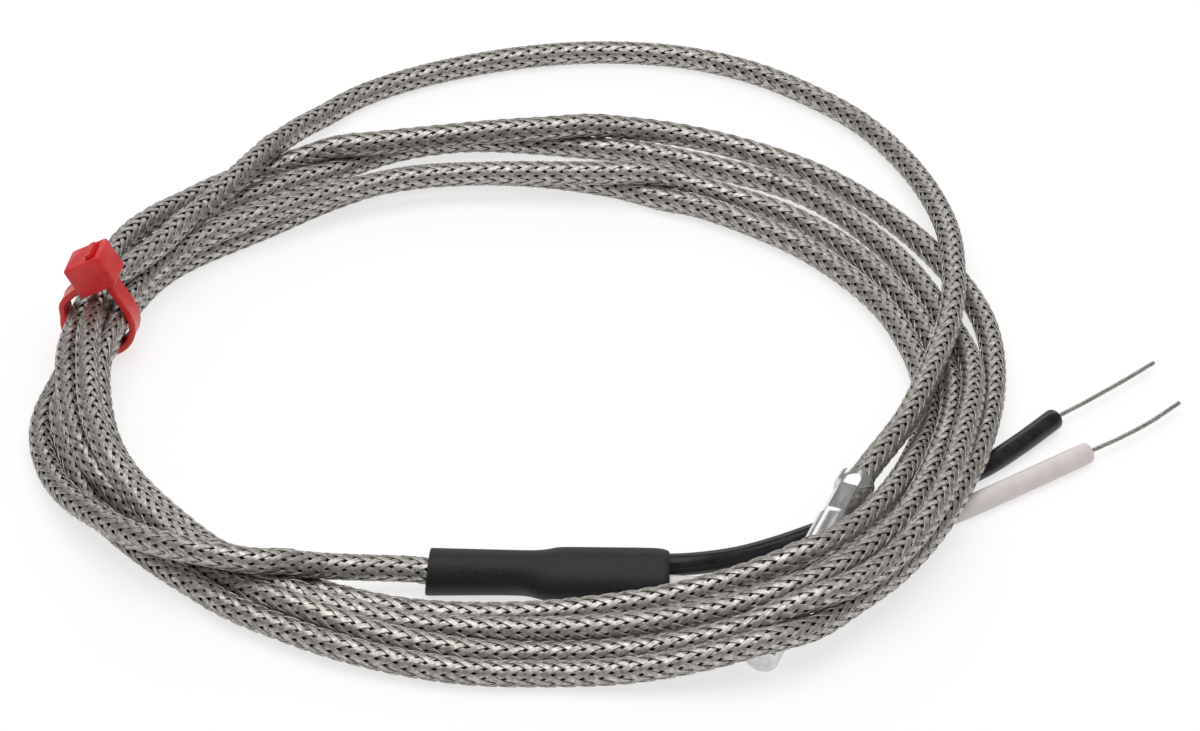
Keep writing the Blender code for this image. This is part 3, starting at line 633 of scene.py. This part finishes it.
def drawn_skin(name, stations, sides):
    """A skin drawn along +Z by extruding a ring: (along, half width, half height) in mm."""
    start_piece()
    bpy.ops.mesh.primitive_circle_add(vertices=sides, radius=MM)
    piece = bpy.context.object
    piece.name = name
    bpy.ops.object.mode_set(mode="EDIT")
    bpy.ops.mesh.select_all(action="SELECT")
    along, width, height = stations[0]
    bpy.ops.transform.translate(value=(0.0, 0.0, along * MM))
    bpy.ops.transform.resize(value=(width, height, 1.0), center_override=(0, 0, along * MM))
    for next_along, next_width, next_height in stations[1:]:
        bpy.ops.mesh.extrude_region_move(
            TRANSFORM_OT_translate={"value": (0.0, 0.0, (next_along - along) * MM)})
        bpy.ops.transform.resize(value=(next_width / width, next_height / height, 1.0),
                                 center_override=(0, 0, next_along * MM))
        along, width, height = next_along, next_width, next_height
    bpy.ops.object.mode_set(mode="OBJECT")
    return piece


def apply_modifier(piece, kind, **settings):
    pick_piece(piece)
    modifier = piece.modifiers.new(kind.lower(), kind)
    for key, value in settings.items():
        setattr(modifier, key, value)
    bpy.ops.object.modifier_apply(modifier=modifier.name)


def settle_piece(piece, place, material, slot, *nodes, sharp=35.0):
    """Move the mesh to its place, leave the object at the origin and let it ride."""
    piece.data.transform(place)
    piece.matrix_world = Matrix.Identity(4)
    piece.data.materials.clear()
    piece.data.materials.append(material)
    pick_piece(piece)
    bpy.ops.object.shade_smooth_by_angle(angle=math.radians(sharp))
    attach(piece, "root")
    if nodes:
        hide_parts(*nodes)


def place_along(start, ahead, up=(0.0, 0.0, 1.0)):
    """A matrix that turns +Z to ahead and +Y to up as nearly as it can, in mm."""
    ahead = Vector(ahead).normalized()
    side = Vector(up).cross(ahead).normalized()
    turn = Matrix((side, ahead.cross(side), ahead)).transposed().to_4x4()
    return Matrix.Translation(Vector(start) * MM) @ turn


def roughen(material, shader, height, strength, depth):
    """Fine relief in the shading; the depth is in metres."""
    bump = add_node(material, "Bump", Strength=strength, Distance=depth)
    wire_nodes(material, (height, bump.inputs["Height"]),
               (bump.outputs["Normal"], shader.inputs["Normal"]))


heat_shrink = drawn_skin("heat_shrink_sleeve_piece", SHRINK_STATIONS, 48)
# The two tails show through the wall as a shallow waist, and the step runs aslant with a dimple
for vertex in heat_shrink.data.vertices:
    x, y, z = vertex.co / MM
    if z > WAIST_START:
        waist = WAIST_DEPTH * math.exp(-(x / WAIST_WIDTH) ** 2)
        waist *= min(1.0, (z - WAIST_START) / WAIST_FADE)
        vertex.co.y -= math.copysign(waist, y) * MM
    from_dimple = (x - DIMPLE_PLACE[0]) ** 2 + (y - DIMPLE_PLACE[1]) ** 2
    dimple = DIMPLE_DEPTH * math.exp(-((z - DIMPLE_PLACE[2]) / DIMPLE_LENGTH) ** 2
                                     - from_dimple / DIMPLE_SPREAD)
    vertex.co.x *= 1.0 - dimple / SLANT_REACH
    vertex.co.y *= 1.0 - dimple / SLANT_REACH
    aslant = (SLANT_TOWARDS[0] * x + SLANT_TOWARDS[1] * y) / SLANT_REACH
    vertex.co.z += aslant * (STEP_SLANT * math.exp(-((z - STEP_PLACE) / STEP_SPREAD) ** 2)
                             + END_SLANT * math.exp(-z / END_SPREAD)) * MM
    over_tails = max(0.0, min(1.0, (z - TILT_START) / TILT_LENGTH))
    turned = vertex.co.copy()
    turned.rotate(Matrix.Rotation(TAILS_TILT * over_tails, 3, "Z"))
    vertex.co = turned - Vector((0.0, TAILS_DROP * over_tails * MM, 0.0))
turn_faces_out(heat_shrink)
apply_modifier(heat_shrink, "SOLIDIFY", thickness=SHRINK_WALL * MM, offset=-1.0)
apply_modifier(heat_shrink, "SUBSURF", levels=1, render_levels=1)
shrink_material, shrink_shader = plain_material("matt_black_shrink", (0.02, 0.02, 0.022), 0.5)
shrink_shader.inputs["Specular IOR Level"].default_value = 0.3
shrink_grain = noise_on(shrink_material, 2600.0, 4.0)
shade(shrink_material, shrink_shader, shrink_grain, (0.012, 0.012, 0.014),
      (0.028, 0.028, 0.031), (0.42, 0.58))
roughen(shrink_material, shrink_shader, shrink_grain, 0.25, 0.00008)
settle_piece(heat_shrink, place_along(SHRINK_START, shrink_along), shrink_material,
             "black_heat_shrink", "heat_shrink_sleeve")

# ---- The two tails
# Each conductor leaves the heat-shrink in a soft sleeve, black on one and white on the other,
# passes under the probe and the turns along the floor, and ends in bare stranded wire.
SLEEVE_BORE, SLEEVE_LIP, SLEEVE_SIDES, SLEEVE_STEP = 0.62, 0.25, 32, 0.8
WIRE_RADIUS, WIRE_STEP = 0.34, 0.35
WIRE_STRANDS, STRAND_LAY, STRAND_SIDES, STRAND_OVERLAP = 7, 4.2, 6, 1.02
# How the tails lie in the heat-shrink: places along it, the gap to its middle, the black one's
# rise and the white one's drop, and where the conductors start beyond the lead's end
TAIL_PLACES_IN_SHRINK = (18.0, 25.5, SHRINK_LENGTH)
TAIL_GAP, TAIL_STAGGER = 0.05, 0.62
CONDUCTOR_GAP, CONDUCTOR_SIDE = 0.6, 0.65
BLACK_BARE_ROUTE = ((20.4, 56.4, 1.6), (22.6, 61.3, 1.5), (24.7, 66.1, 1.45), (26.7, 71.0, 1.4))
WHITE_BARE_ROUTE = ((28.2, 50.7, 1.6), (30.9, 56.2, 1.55), (33.2, 62.4, 1.5))

black_plastic, black_shader = plain_material("glossy_black_sleeving", (0.015, 0.015, 0.017), 0.2)
black_shader.inputs["Specular IOR Level"].default_value = 0.3
shade(black_plastic, black_shader, noise_on(black_plastic, 500.0),
      (0.010, 0.010, 0.012), (0.022, 0.022, 0.025), (0.16, 0.26))
white_plastic, white_shader = plain_material("warm_white_sleeving", (0.86, 0.80, 0.78), 0.32)
shade(white_plastic, white_shader, noise_on(white_plastic, 400.0),
      (0.80, 0.72, 0.69), (0.86, 0.79, 0.765), (0.28, 0.38))
wire_metal, wire_shader = plain_material("bare_drawn_wire", (0.45, 0.43, 0.40), 0.3, 1.0)
shade(wire_metal, wire_shader, noise_on(wire_metal, 1500.0),
      (0.34, 0.32, 0.30), (0.56, 0.54, 0.51), (0.25, 0.4))


def sleeve_piece(name, line, material):
    """A soft tube with rounded lips, open at both ends around its conductor."""
    along = distance_along(line)
    outside = [(0.0, SLEEVE_RADIUS - SLEEVE_LIP), (0.08, SLEEVE_RADIUS - 0.08),
               (SLEEVE_LIP, SLEEVE_RADIUS)]
    stations = list(outside)
    middle = np.arange(SLEEVE_LIP + SLEEVE_STEP, along[-1] - SLEEVE_LIP - SLEEVE_STEP / 2,
                       SLEEVE_STEP)
    stations += [(place, SLEEVE_RADIUS) for place in middle]
    stations += [(along[-1] - place, reach) for place, reach in reversed(outside)]
    stations += [(along[-1] - place, SLEEVE_BORE) for place in (0.0, 1.0)]
    stations += [(place, SLEEVE_BORE) for place in reversed(middle[::4])]
    stations += [(place, SLEEVE_BORE) for place in (1.0, 0.0)]
    places = np.array([place for place, _ in stations])
    centre, side, up = (read_along(values, along, places)[:, None]
                        for values in (line, *carried_frames(line)))
    angles = np.linspace(0.0, 2 * math.pi, SLEEVE_SIDES, endpoint=False)
    reach = np.array([reach for _, reach in stations])[:, None, None]
    points = centre + reach * (
        side * np.cos(angles)[None, :, None] + up * np.sin(angles)[None, :, None])
    faces = [tuple(reversed(face))
             for face in ring_faces(len(stations), SLEEVE_SIDES, closed=True)]
    piece = mesh_piece(name, points.reshape(-1, 3), faces, material)
    turn_faces_out(piece)
    return piece


def strand_points(line, turn):
    """One strand of the twisted conductor; the one without a turn lies in the middle."""
    along = distance_along(line)
    side, up = carried_frames(line)
    radius = WIRE_RADIUS / 3
    if turn is None:
        centre = line
    else:
        angle = 2 * math.pi * (along / STRAND_LAY + turn / (WIRE_STRANDS - 1))
        centre = line + 2 * radius * (side * np.cos(angle)[:, None] + up * np.sin(angle)[:, None])
    return tube_points(centre, [radius * STRAND_OVERLAP] * len(line), STRAND_SIDES)


for name, way, sleeve_route, bare_route, plastic in (
        ("black", 1, BLACK_SLEEVE_ROUTE, BLACK_BARE_ROUTE, black_plastic),
        ("white", -1, WHITE_SLEEVE_ROUTE, WHITE_BARE_ROUTE, white_plastic)):
    across = shrink_across * way
    beside = across * (SLEEVE_RADIUS + TAIL_GAP)
    beside += np.array([0.0, 0.0, TAIL_STAGGER * way - TAILS_DROP])
    in_shrink = [SHRINK_START + shrink_along * place + beside for place in TAIL_PLACES_IN_SHRINK]
    wire_start = SHRINK_START + shrink_along * (LEAD_END_IN_SHRINK + CONDUCTOR_GAP)
    wire_start = wire_start + across * CONDUCTOR_SIDE
    sleeve_line, _ = smooth_line(in_shrink + list(sleeve_route), SLEEVE_STEP)
    sleeve = sleeve_piece(name + "_sleeve_piece", sleeve_line, plastic)
    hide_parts(name + "_sleeve")
    wire_points = [wire_start] + in_shrink + list(sleeve_route + bare_route)
    wire_line = even_line(smooth_line(wire_points, 0.5)[0], WIRE_STEP)
    points, faces = [], []
    for turn in [None] + list(range(WIRE_STRANDS - 1)):
        first = sum(len(strand) for strand in points)
        strand = strand_points(wire_line, turn)
        faces += [tuple(first + corner for corner in face)
                  for face in ring_faces(len(wire_line), STRAND_SIDES)]
        points.append(strand)
    wire = mesh_piece(name + "_wire_piece", np.concatenate(points), faces, wire_metal)
    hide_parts(name + "_tail_wire")

# ---- The cable tie
# One red nylon moulding pulled tight round the turns: a strap, a square head on top that its
# tail passes through, and the tail cut off close to the head.
STRAP_THICKNESS, STRAP_WIDTH = 1.0, 3.6
STRAP_EDGE, STRAP_HOLLOW = 0.22, 0.08
STRAP_SINK, STRAP_STUB = 0.5, 0.5
LOOP_HALF_FLAT = 0.2
LOOP_RADIUS = 4.95
LOOP_STEPS, LOOP_START, LOOP_PAST_HEAD = 12, math.radians(10.0), math.radians(80.0)
HEAD_SIZE = (5.2, 5.8, 6.2)
HEAD_BEVEL, SLOT_CLEARANCE = 0.45, 0.5
HEAD_PLACE = np.array([0.4, 8.8])
HEAD_ANGLE = math.radians(61.0)
head_out = np.array([math.cos(HEAD_ANGLE), math.sin(HEAD_ANGLE)])
head_side = np.array([-head_out[1], head_out[0]])
slot_side = np.array([-LOOP_HALF_FLAT, 0.0]) + head_side * LOOP_RADIUS
slot_offset = float((slot_side - HEAD_PLACE) @ head_side)

root = HEAD_PLACE - head_out * (HEAD_SIZE[0] / 2 - STRAP_THICKNESS / 2 - STRAP_SINK)
strap_route = [root - head_side * HEAD_SIZE[2] * 0.3, root - head_side * HEAD_SIZE[2] * 0.5,
               np.array([LOOP_HALF_FLAT + LOOP_RADIUS * 0.98, LOOP_RADIUS * 0.62])]
for step in range(LOOP_STEPS + 1):
    angle = LOOP_START - (math.pi - HEAD_ANGLE + LOOP_PAST_HEAD) * step / LOOP_STEPS
    flat = LOOP_HALF_FLAT * max(-1.0, min(1.0, math.cos(angle) * 3.0))
    strap_route.append(np.array([flat + LOOP_RADIUS * math.cos(angle),
                                 LOOP_RADIUS * math.sin(angle)]))
stub = HEAD_PLACE + head_side * slot_offset + head_out * (HEAD_SIZE[0] / 2 + STRAP_STUB)
strap_route += [slot_side + (stub - slot_side) * step / 4 for step in range(5)]
strap_line, _ = smooth_line([(x, 0.0, z) for x, z in strap_route], 0.35)

tie_heading = math.radians(TIE_HEADING)
tie_out = Vector((math.cos(tie_heading), math.sin(tie_heading), 0.0))
upright = Vector((0.0, 0.0, 1.0))
tie_turn = Matrix((tie_out, upright.cross(tie_out), upright))
tie_frame = Matrix.Translation(Vector(polar_place(*LOOP_MIDDLE, TIE_HEADING)) * MM) @ (
    tie_turn.transposed().to_4x4())

# The strap's section, with softened edges and a shallow hollow along its outside
half_width, half_thick, edge = STRAP_WIDTH / 2, STRAP_THICKNESS / 2, STRAP_EDGE
strap_section = (
    (-half_width, -half_thick + edge), (-half_width + edge, -half_thick),
    (half_width - edge, -half_thick), (half_width, -half_thick + edge),
    (half_width, half_thick - edge), (half_width - edge, half_thick),
    (half_width - 3 * edge, half_thick - STRAP_HOLLOW),
    (-half_width + 3 * edge, half_thick - STRAP_HOLLOW),
    (-half_width + edge, half_thick), (-half_width, half_thick - edge),
)
heading = np.gradient(strap_line, axis=0)
heading /= np.linalg.norm(heading, axis=1)[:, None]
outward = np.stack([-heading[:, 2], heading[:, 1], heading[:, 0]], 1)
strap_points = []
for place, out in zip(strap_line, outward):
    for across, rise in strap_section:
        strap_points.append(place + np.array([0.0, across, 0.0]) + out * rise)
nylon, nylon_shader = plain_material("red_nylon_moulding", (0.62, 0.02, 0.03), 0.35)
nylon_grain = noise_on(nylon, 900.0)
shade(nylon, nylon_shader, nylon_grain, (0.72, 0.018, 0.02), (0.84, 0.035, 0.034),
      (0.3, 0.42))
roughen(nylon, nylon_shader, nylon_grain, 0.1, 0.00005)
strap = mesh_piece("cable_tie_strap", strap_points,
                   ring_faces(len(strap_line), len(strap_section)), nylon)
turn_faces_out(strap)
settle_piece(strap, tie_frame, nylon, "red_nylon", "cable_tie")

start_piece()
bpy.ops.mesh.primitive_cube_add(size=1.0)
tie_head = bpy.context.object
tie_head.name = "cable_tie_head"
tie_head.scale = [side * MM for side in HEAD_SIZE]
bpy.ops.object.transform_apply(location=False, rotation=False, scale=True)
start_piece()
bpy.ops.mesh.primitive_cube_add(size=1.0, location=(0.0, 0.0, slot_offset * MM))
head_slot = bpy.context.object
head_slot.scale = [HEAD_SIZE[0] * 2 * MM, (STRAP_WIDTH + SLOT_CLEARANCE) * MM,
                   (STRAP_THICKNESS + SLOT_CLEARANCE) * MM]
bpy.ops.object.transform_apply(location=True, rotation=False, scale=True)
apply_modifier(tie_head, "BOOLEAN", object=head_slot, operation="DIFFERENCE", solver="EXACT")
bpy.data.objects.remove(head_slot, do_unlink=True)
apply_modifier(tie_head, "BEVEL", width=HEAD_BEVEL * MM, segments=4, limit_method="ANGLE")
head_place = tie_frame @ Matrix.Translation((HEAD_PLACE[0] * MM, 0.0, HEAD_PLACE[1] * MM))
settle_piece(tie_head, head_place @ Matrix.Rotation(-HEAD_ANGLE, 4, "Y"), nylon, "red_nylon")

# ---- The probe
# A tube of drawn stainless steel, polished, with a flat closed tip. Its mouth is crimped with
# six flats onto the lead and left slightly flared.
SHEATH_LENGTH, SHEATH_RADIUS, SHEATH_WALL = 37.0, PROBE_RADIUS, 0.45
SHEATH_BORE, BORE_CORNER = 2.05, 0.3
SHEATH_SIDES, PLAIN_RINGS = 96, (6.0, 12.0, 18.0, 24.0)
TIP_EDGE, TIP_STEPS, TIP_INNER_RING = 0.6, 8, 1.0
CRIMP_LENGTH, CRIMP_HALF_FLATS, CRIMP_SHOULDER = 5.4, 2.1, 0.9
MOUTH_LENGTH, MOUTH_RADIUS, FLARE_LENGTH = 2.6, 2.7, 0.8
# The crimp presses what lies further out than the bore's centre, and the outside from here on
PRESSED_FROM, OUTSIDE_FROM = 1.5, 2.3
PROBE_TILT = math.radians(7.5)
flare = SHEATH_LENGTH - MOUTH_LENGTH
crimp = flare - CRIMP_LENGTH
# The skin runs up the bore from the closed end, over the mouth's lip and back to the tip
inside = [(SHEATH_WALL, SHEATH_BORE - BORE_CORNER)]
inside += [(along, SHEATH_BORE) for along in (
    SHEATH_WALL + BORE_CORNER, *PLAIN_RINGS, crimp - CRIMP_SHOULDER, crimp, flare)]
inside += [(flare + FLARE_LENGTH, MOUTH_RADIUS - SHEATH_WALL),
           (SHEATH_LENGTH - 0.1, MOUTH_RADIUS - SHEATH_WALL)]
outside = [(SHEATH_LENGTH, MOUTH_RADIUS - SHEATH_WALL + 0.12),
           (SHEATH_LENGTH, MOUTH_RADIUS - 0.1), (SHEATH_LENGTH - 0.12, MOUTH_RADIUS),
           (flare + 1.6, MOUTH_RADIUS), (flare + FLARE_LENGTH, MOUTH_RADIUS - 0.04)]
outside += [(along, SHEATH_RADIUS) for along in (
    flare, flare - 0.3, flare - 2.0, crimp + 1.6, crimp + 0.2, crimp,
    crimp - CRIMP_SHOULDER, crimp - CRIMP_SHOULDER - 0.2, *reversed(PLAIN_RINGS))]
for step in range(TIP_STEPS + 1):
    bend = math.pi / 2 * step / TIP_STEPS
    outside.append((TIP_EDGE * (1 - math.sin(bend)) if step < TIP_STEPS else 0.0,
                    SHEATH_RADIUS - TIP_EDGE * (1 - math.cos(bend))))
outside.append((0.0, TIP_INNER_RING))


def close_ends(piece):
    """Fill the first and last ring and turn all faces outwards."""
    pick_piece(piece)
    bpy.ops.object.mode_set(mode="EDIT")
    bpy.ops.mesh.select_mode(type="EDGE")
    bpy.ops.mesh.select_all(action="DESELECT")
    bpy.ops.mesh.select_non_manifold()
    bpy.ops.mesh.fill_holes(sides=0)
    bpy.ops.object.mode_set(mode="OBJECT")
    turn_faces_out(piece)


sheath_stations = [(along, reach, reach) for along, reach in inside + outside]
sheath = drawn_skin("probe_sheath_piece", sheath_stations, SHEATH_SIDES)
close_ends(sheath)
corner = math.pi / 3
for vertex in sheath.data.vertices:
    x, y, z = vertex.co / MM
    pressed = max(0.0, min(1.0, (z - crimp + CRIMP_SHOULDER) / CRIMP_SHOULDER,
                           (flare + FLARE_LENGTH - z) / FLARE_LENGTH))
    reach = math.hypot(x, y)
    wall = 0.0 if reach > OUTSIDE_FROM else SHEATH_WALL
    if pressed > 0.0 and reach > PRESSED_FROM:
        angle = math.atan2(y, x)
        hexagon = (CRIMP_HALF_FLATS - wall) / math.cos((angle % corner) - corner / 2)
        target = min(hexagon, reach)
        factor = 1.0 + pressed * (target / reach - 1.0)
        vertex.co.x *= factor
        vertex.co.y *= factor
steel, steel_shader = plain_material("polished_drawn_steel", (0.7, 0.7, 0.7), 0.2, 1.0)
draw_lines = noise_on(steel, 900.0, 3.0, 0.6, (1.0, 0.06, 1.0))
shade(steel, steel_shader, draw_lines, (0.62, 0.62, 0.62), (0.76, 0.76, 0.755),
      (0.15, 0.27))
# The probe leans with its rounded tip on the paper, and its middle is over the part's origin
lean = math.sin(PROBE_TILT)
flat_radius = SHEATH_RADIUS - TIP_EDGE
tip_height = flat_radius * math.cos(PROBE_TILT) + TIP_EDGE * (1.0 - lean)
low_end = -flat_radius * lean - TIP_EDGE * (1.0 - math.cos(PROBE_TILT))
high_end = SHEATH_LENGTH * math.cos(PROBE_TILT) + MOUTH_RADIUS * lean
tip_place = (0.0, -(low_end + high_end) / 2, tip_height)
probe_ahead = (0.0, math.cos(PROBE_TILT), math.sin(PROBE_TILT))
settle_piece(sheath, place_along(tip_place, probe_ahead), steel, "polished_steel", "probe_sheath")

# ---- Inside the probe
# The welded bead, the two alloy wires in their ceramic insulator and the glass-fibre sleeving,
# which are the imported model's own nodes with their own finishes.
# Material, colour, roughness, metallic, its darker and lighter tone, and the nodes made of it
INSIDE_FINISHES = (
    ("welded_bead", (0.42, 0.40, 0.38), 0.45, 1.0,
     (0.34, 0.32, 0.30), (0.50, 0.48, 0.45), ("measuring_junction",)),
    ("fired_ceramic", (0.86, 0.85, 0.80), 0.6, 0.0,
     (0.83, 0.82, 0.77), (0.88, 0.87, 0.83), ("ceramic_insulator",)),
    ("glass_fibre_sleeving", (0.82, 0.80, 0.72), 0.8, 0.0,
     (0.76, 0.74, 0.66), (0.86, 0.84, 0.77), ("positive_core_sleeving", "negative_core_sleeving")),
    ("positive_alloy_wire", (0.55, 0.52, 0.50), 0.3, 1.0,
     (0.50, 0.47, 0.45), (0.60, 0.57, 0.55), ("positive_element_wire",)),
    ("negative_alloy_wire", (0.60, 0.52, 0.42), 0.3, 1.0,
     (0.54, 0.46, 0.37), (0.66, 0.58, 0.47), ("negative_element_wire",)),
)
for name, colour, roughness, metallic, low, high, nodes in INSIDE_FINISHES:
    material, shader = plain_material(name, colour, roughness, metallic)
    grain = noise_on(material, 1200.0)
    shade(material, shader, grain, low, high)
    roughen(material, shader, grain, 0.2, 0.00005)
    for node in nodes:
        cad_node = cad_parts[node]
        cad_node.data.materials.clear()
        cad_node.data.materials.append(material)
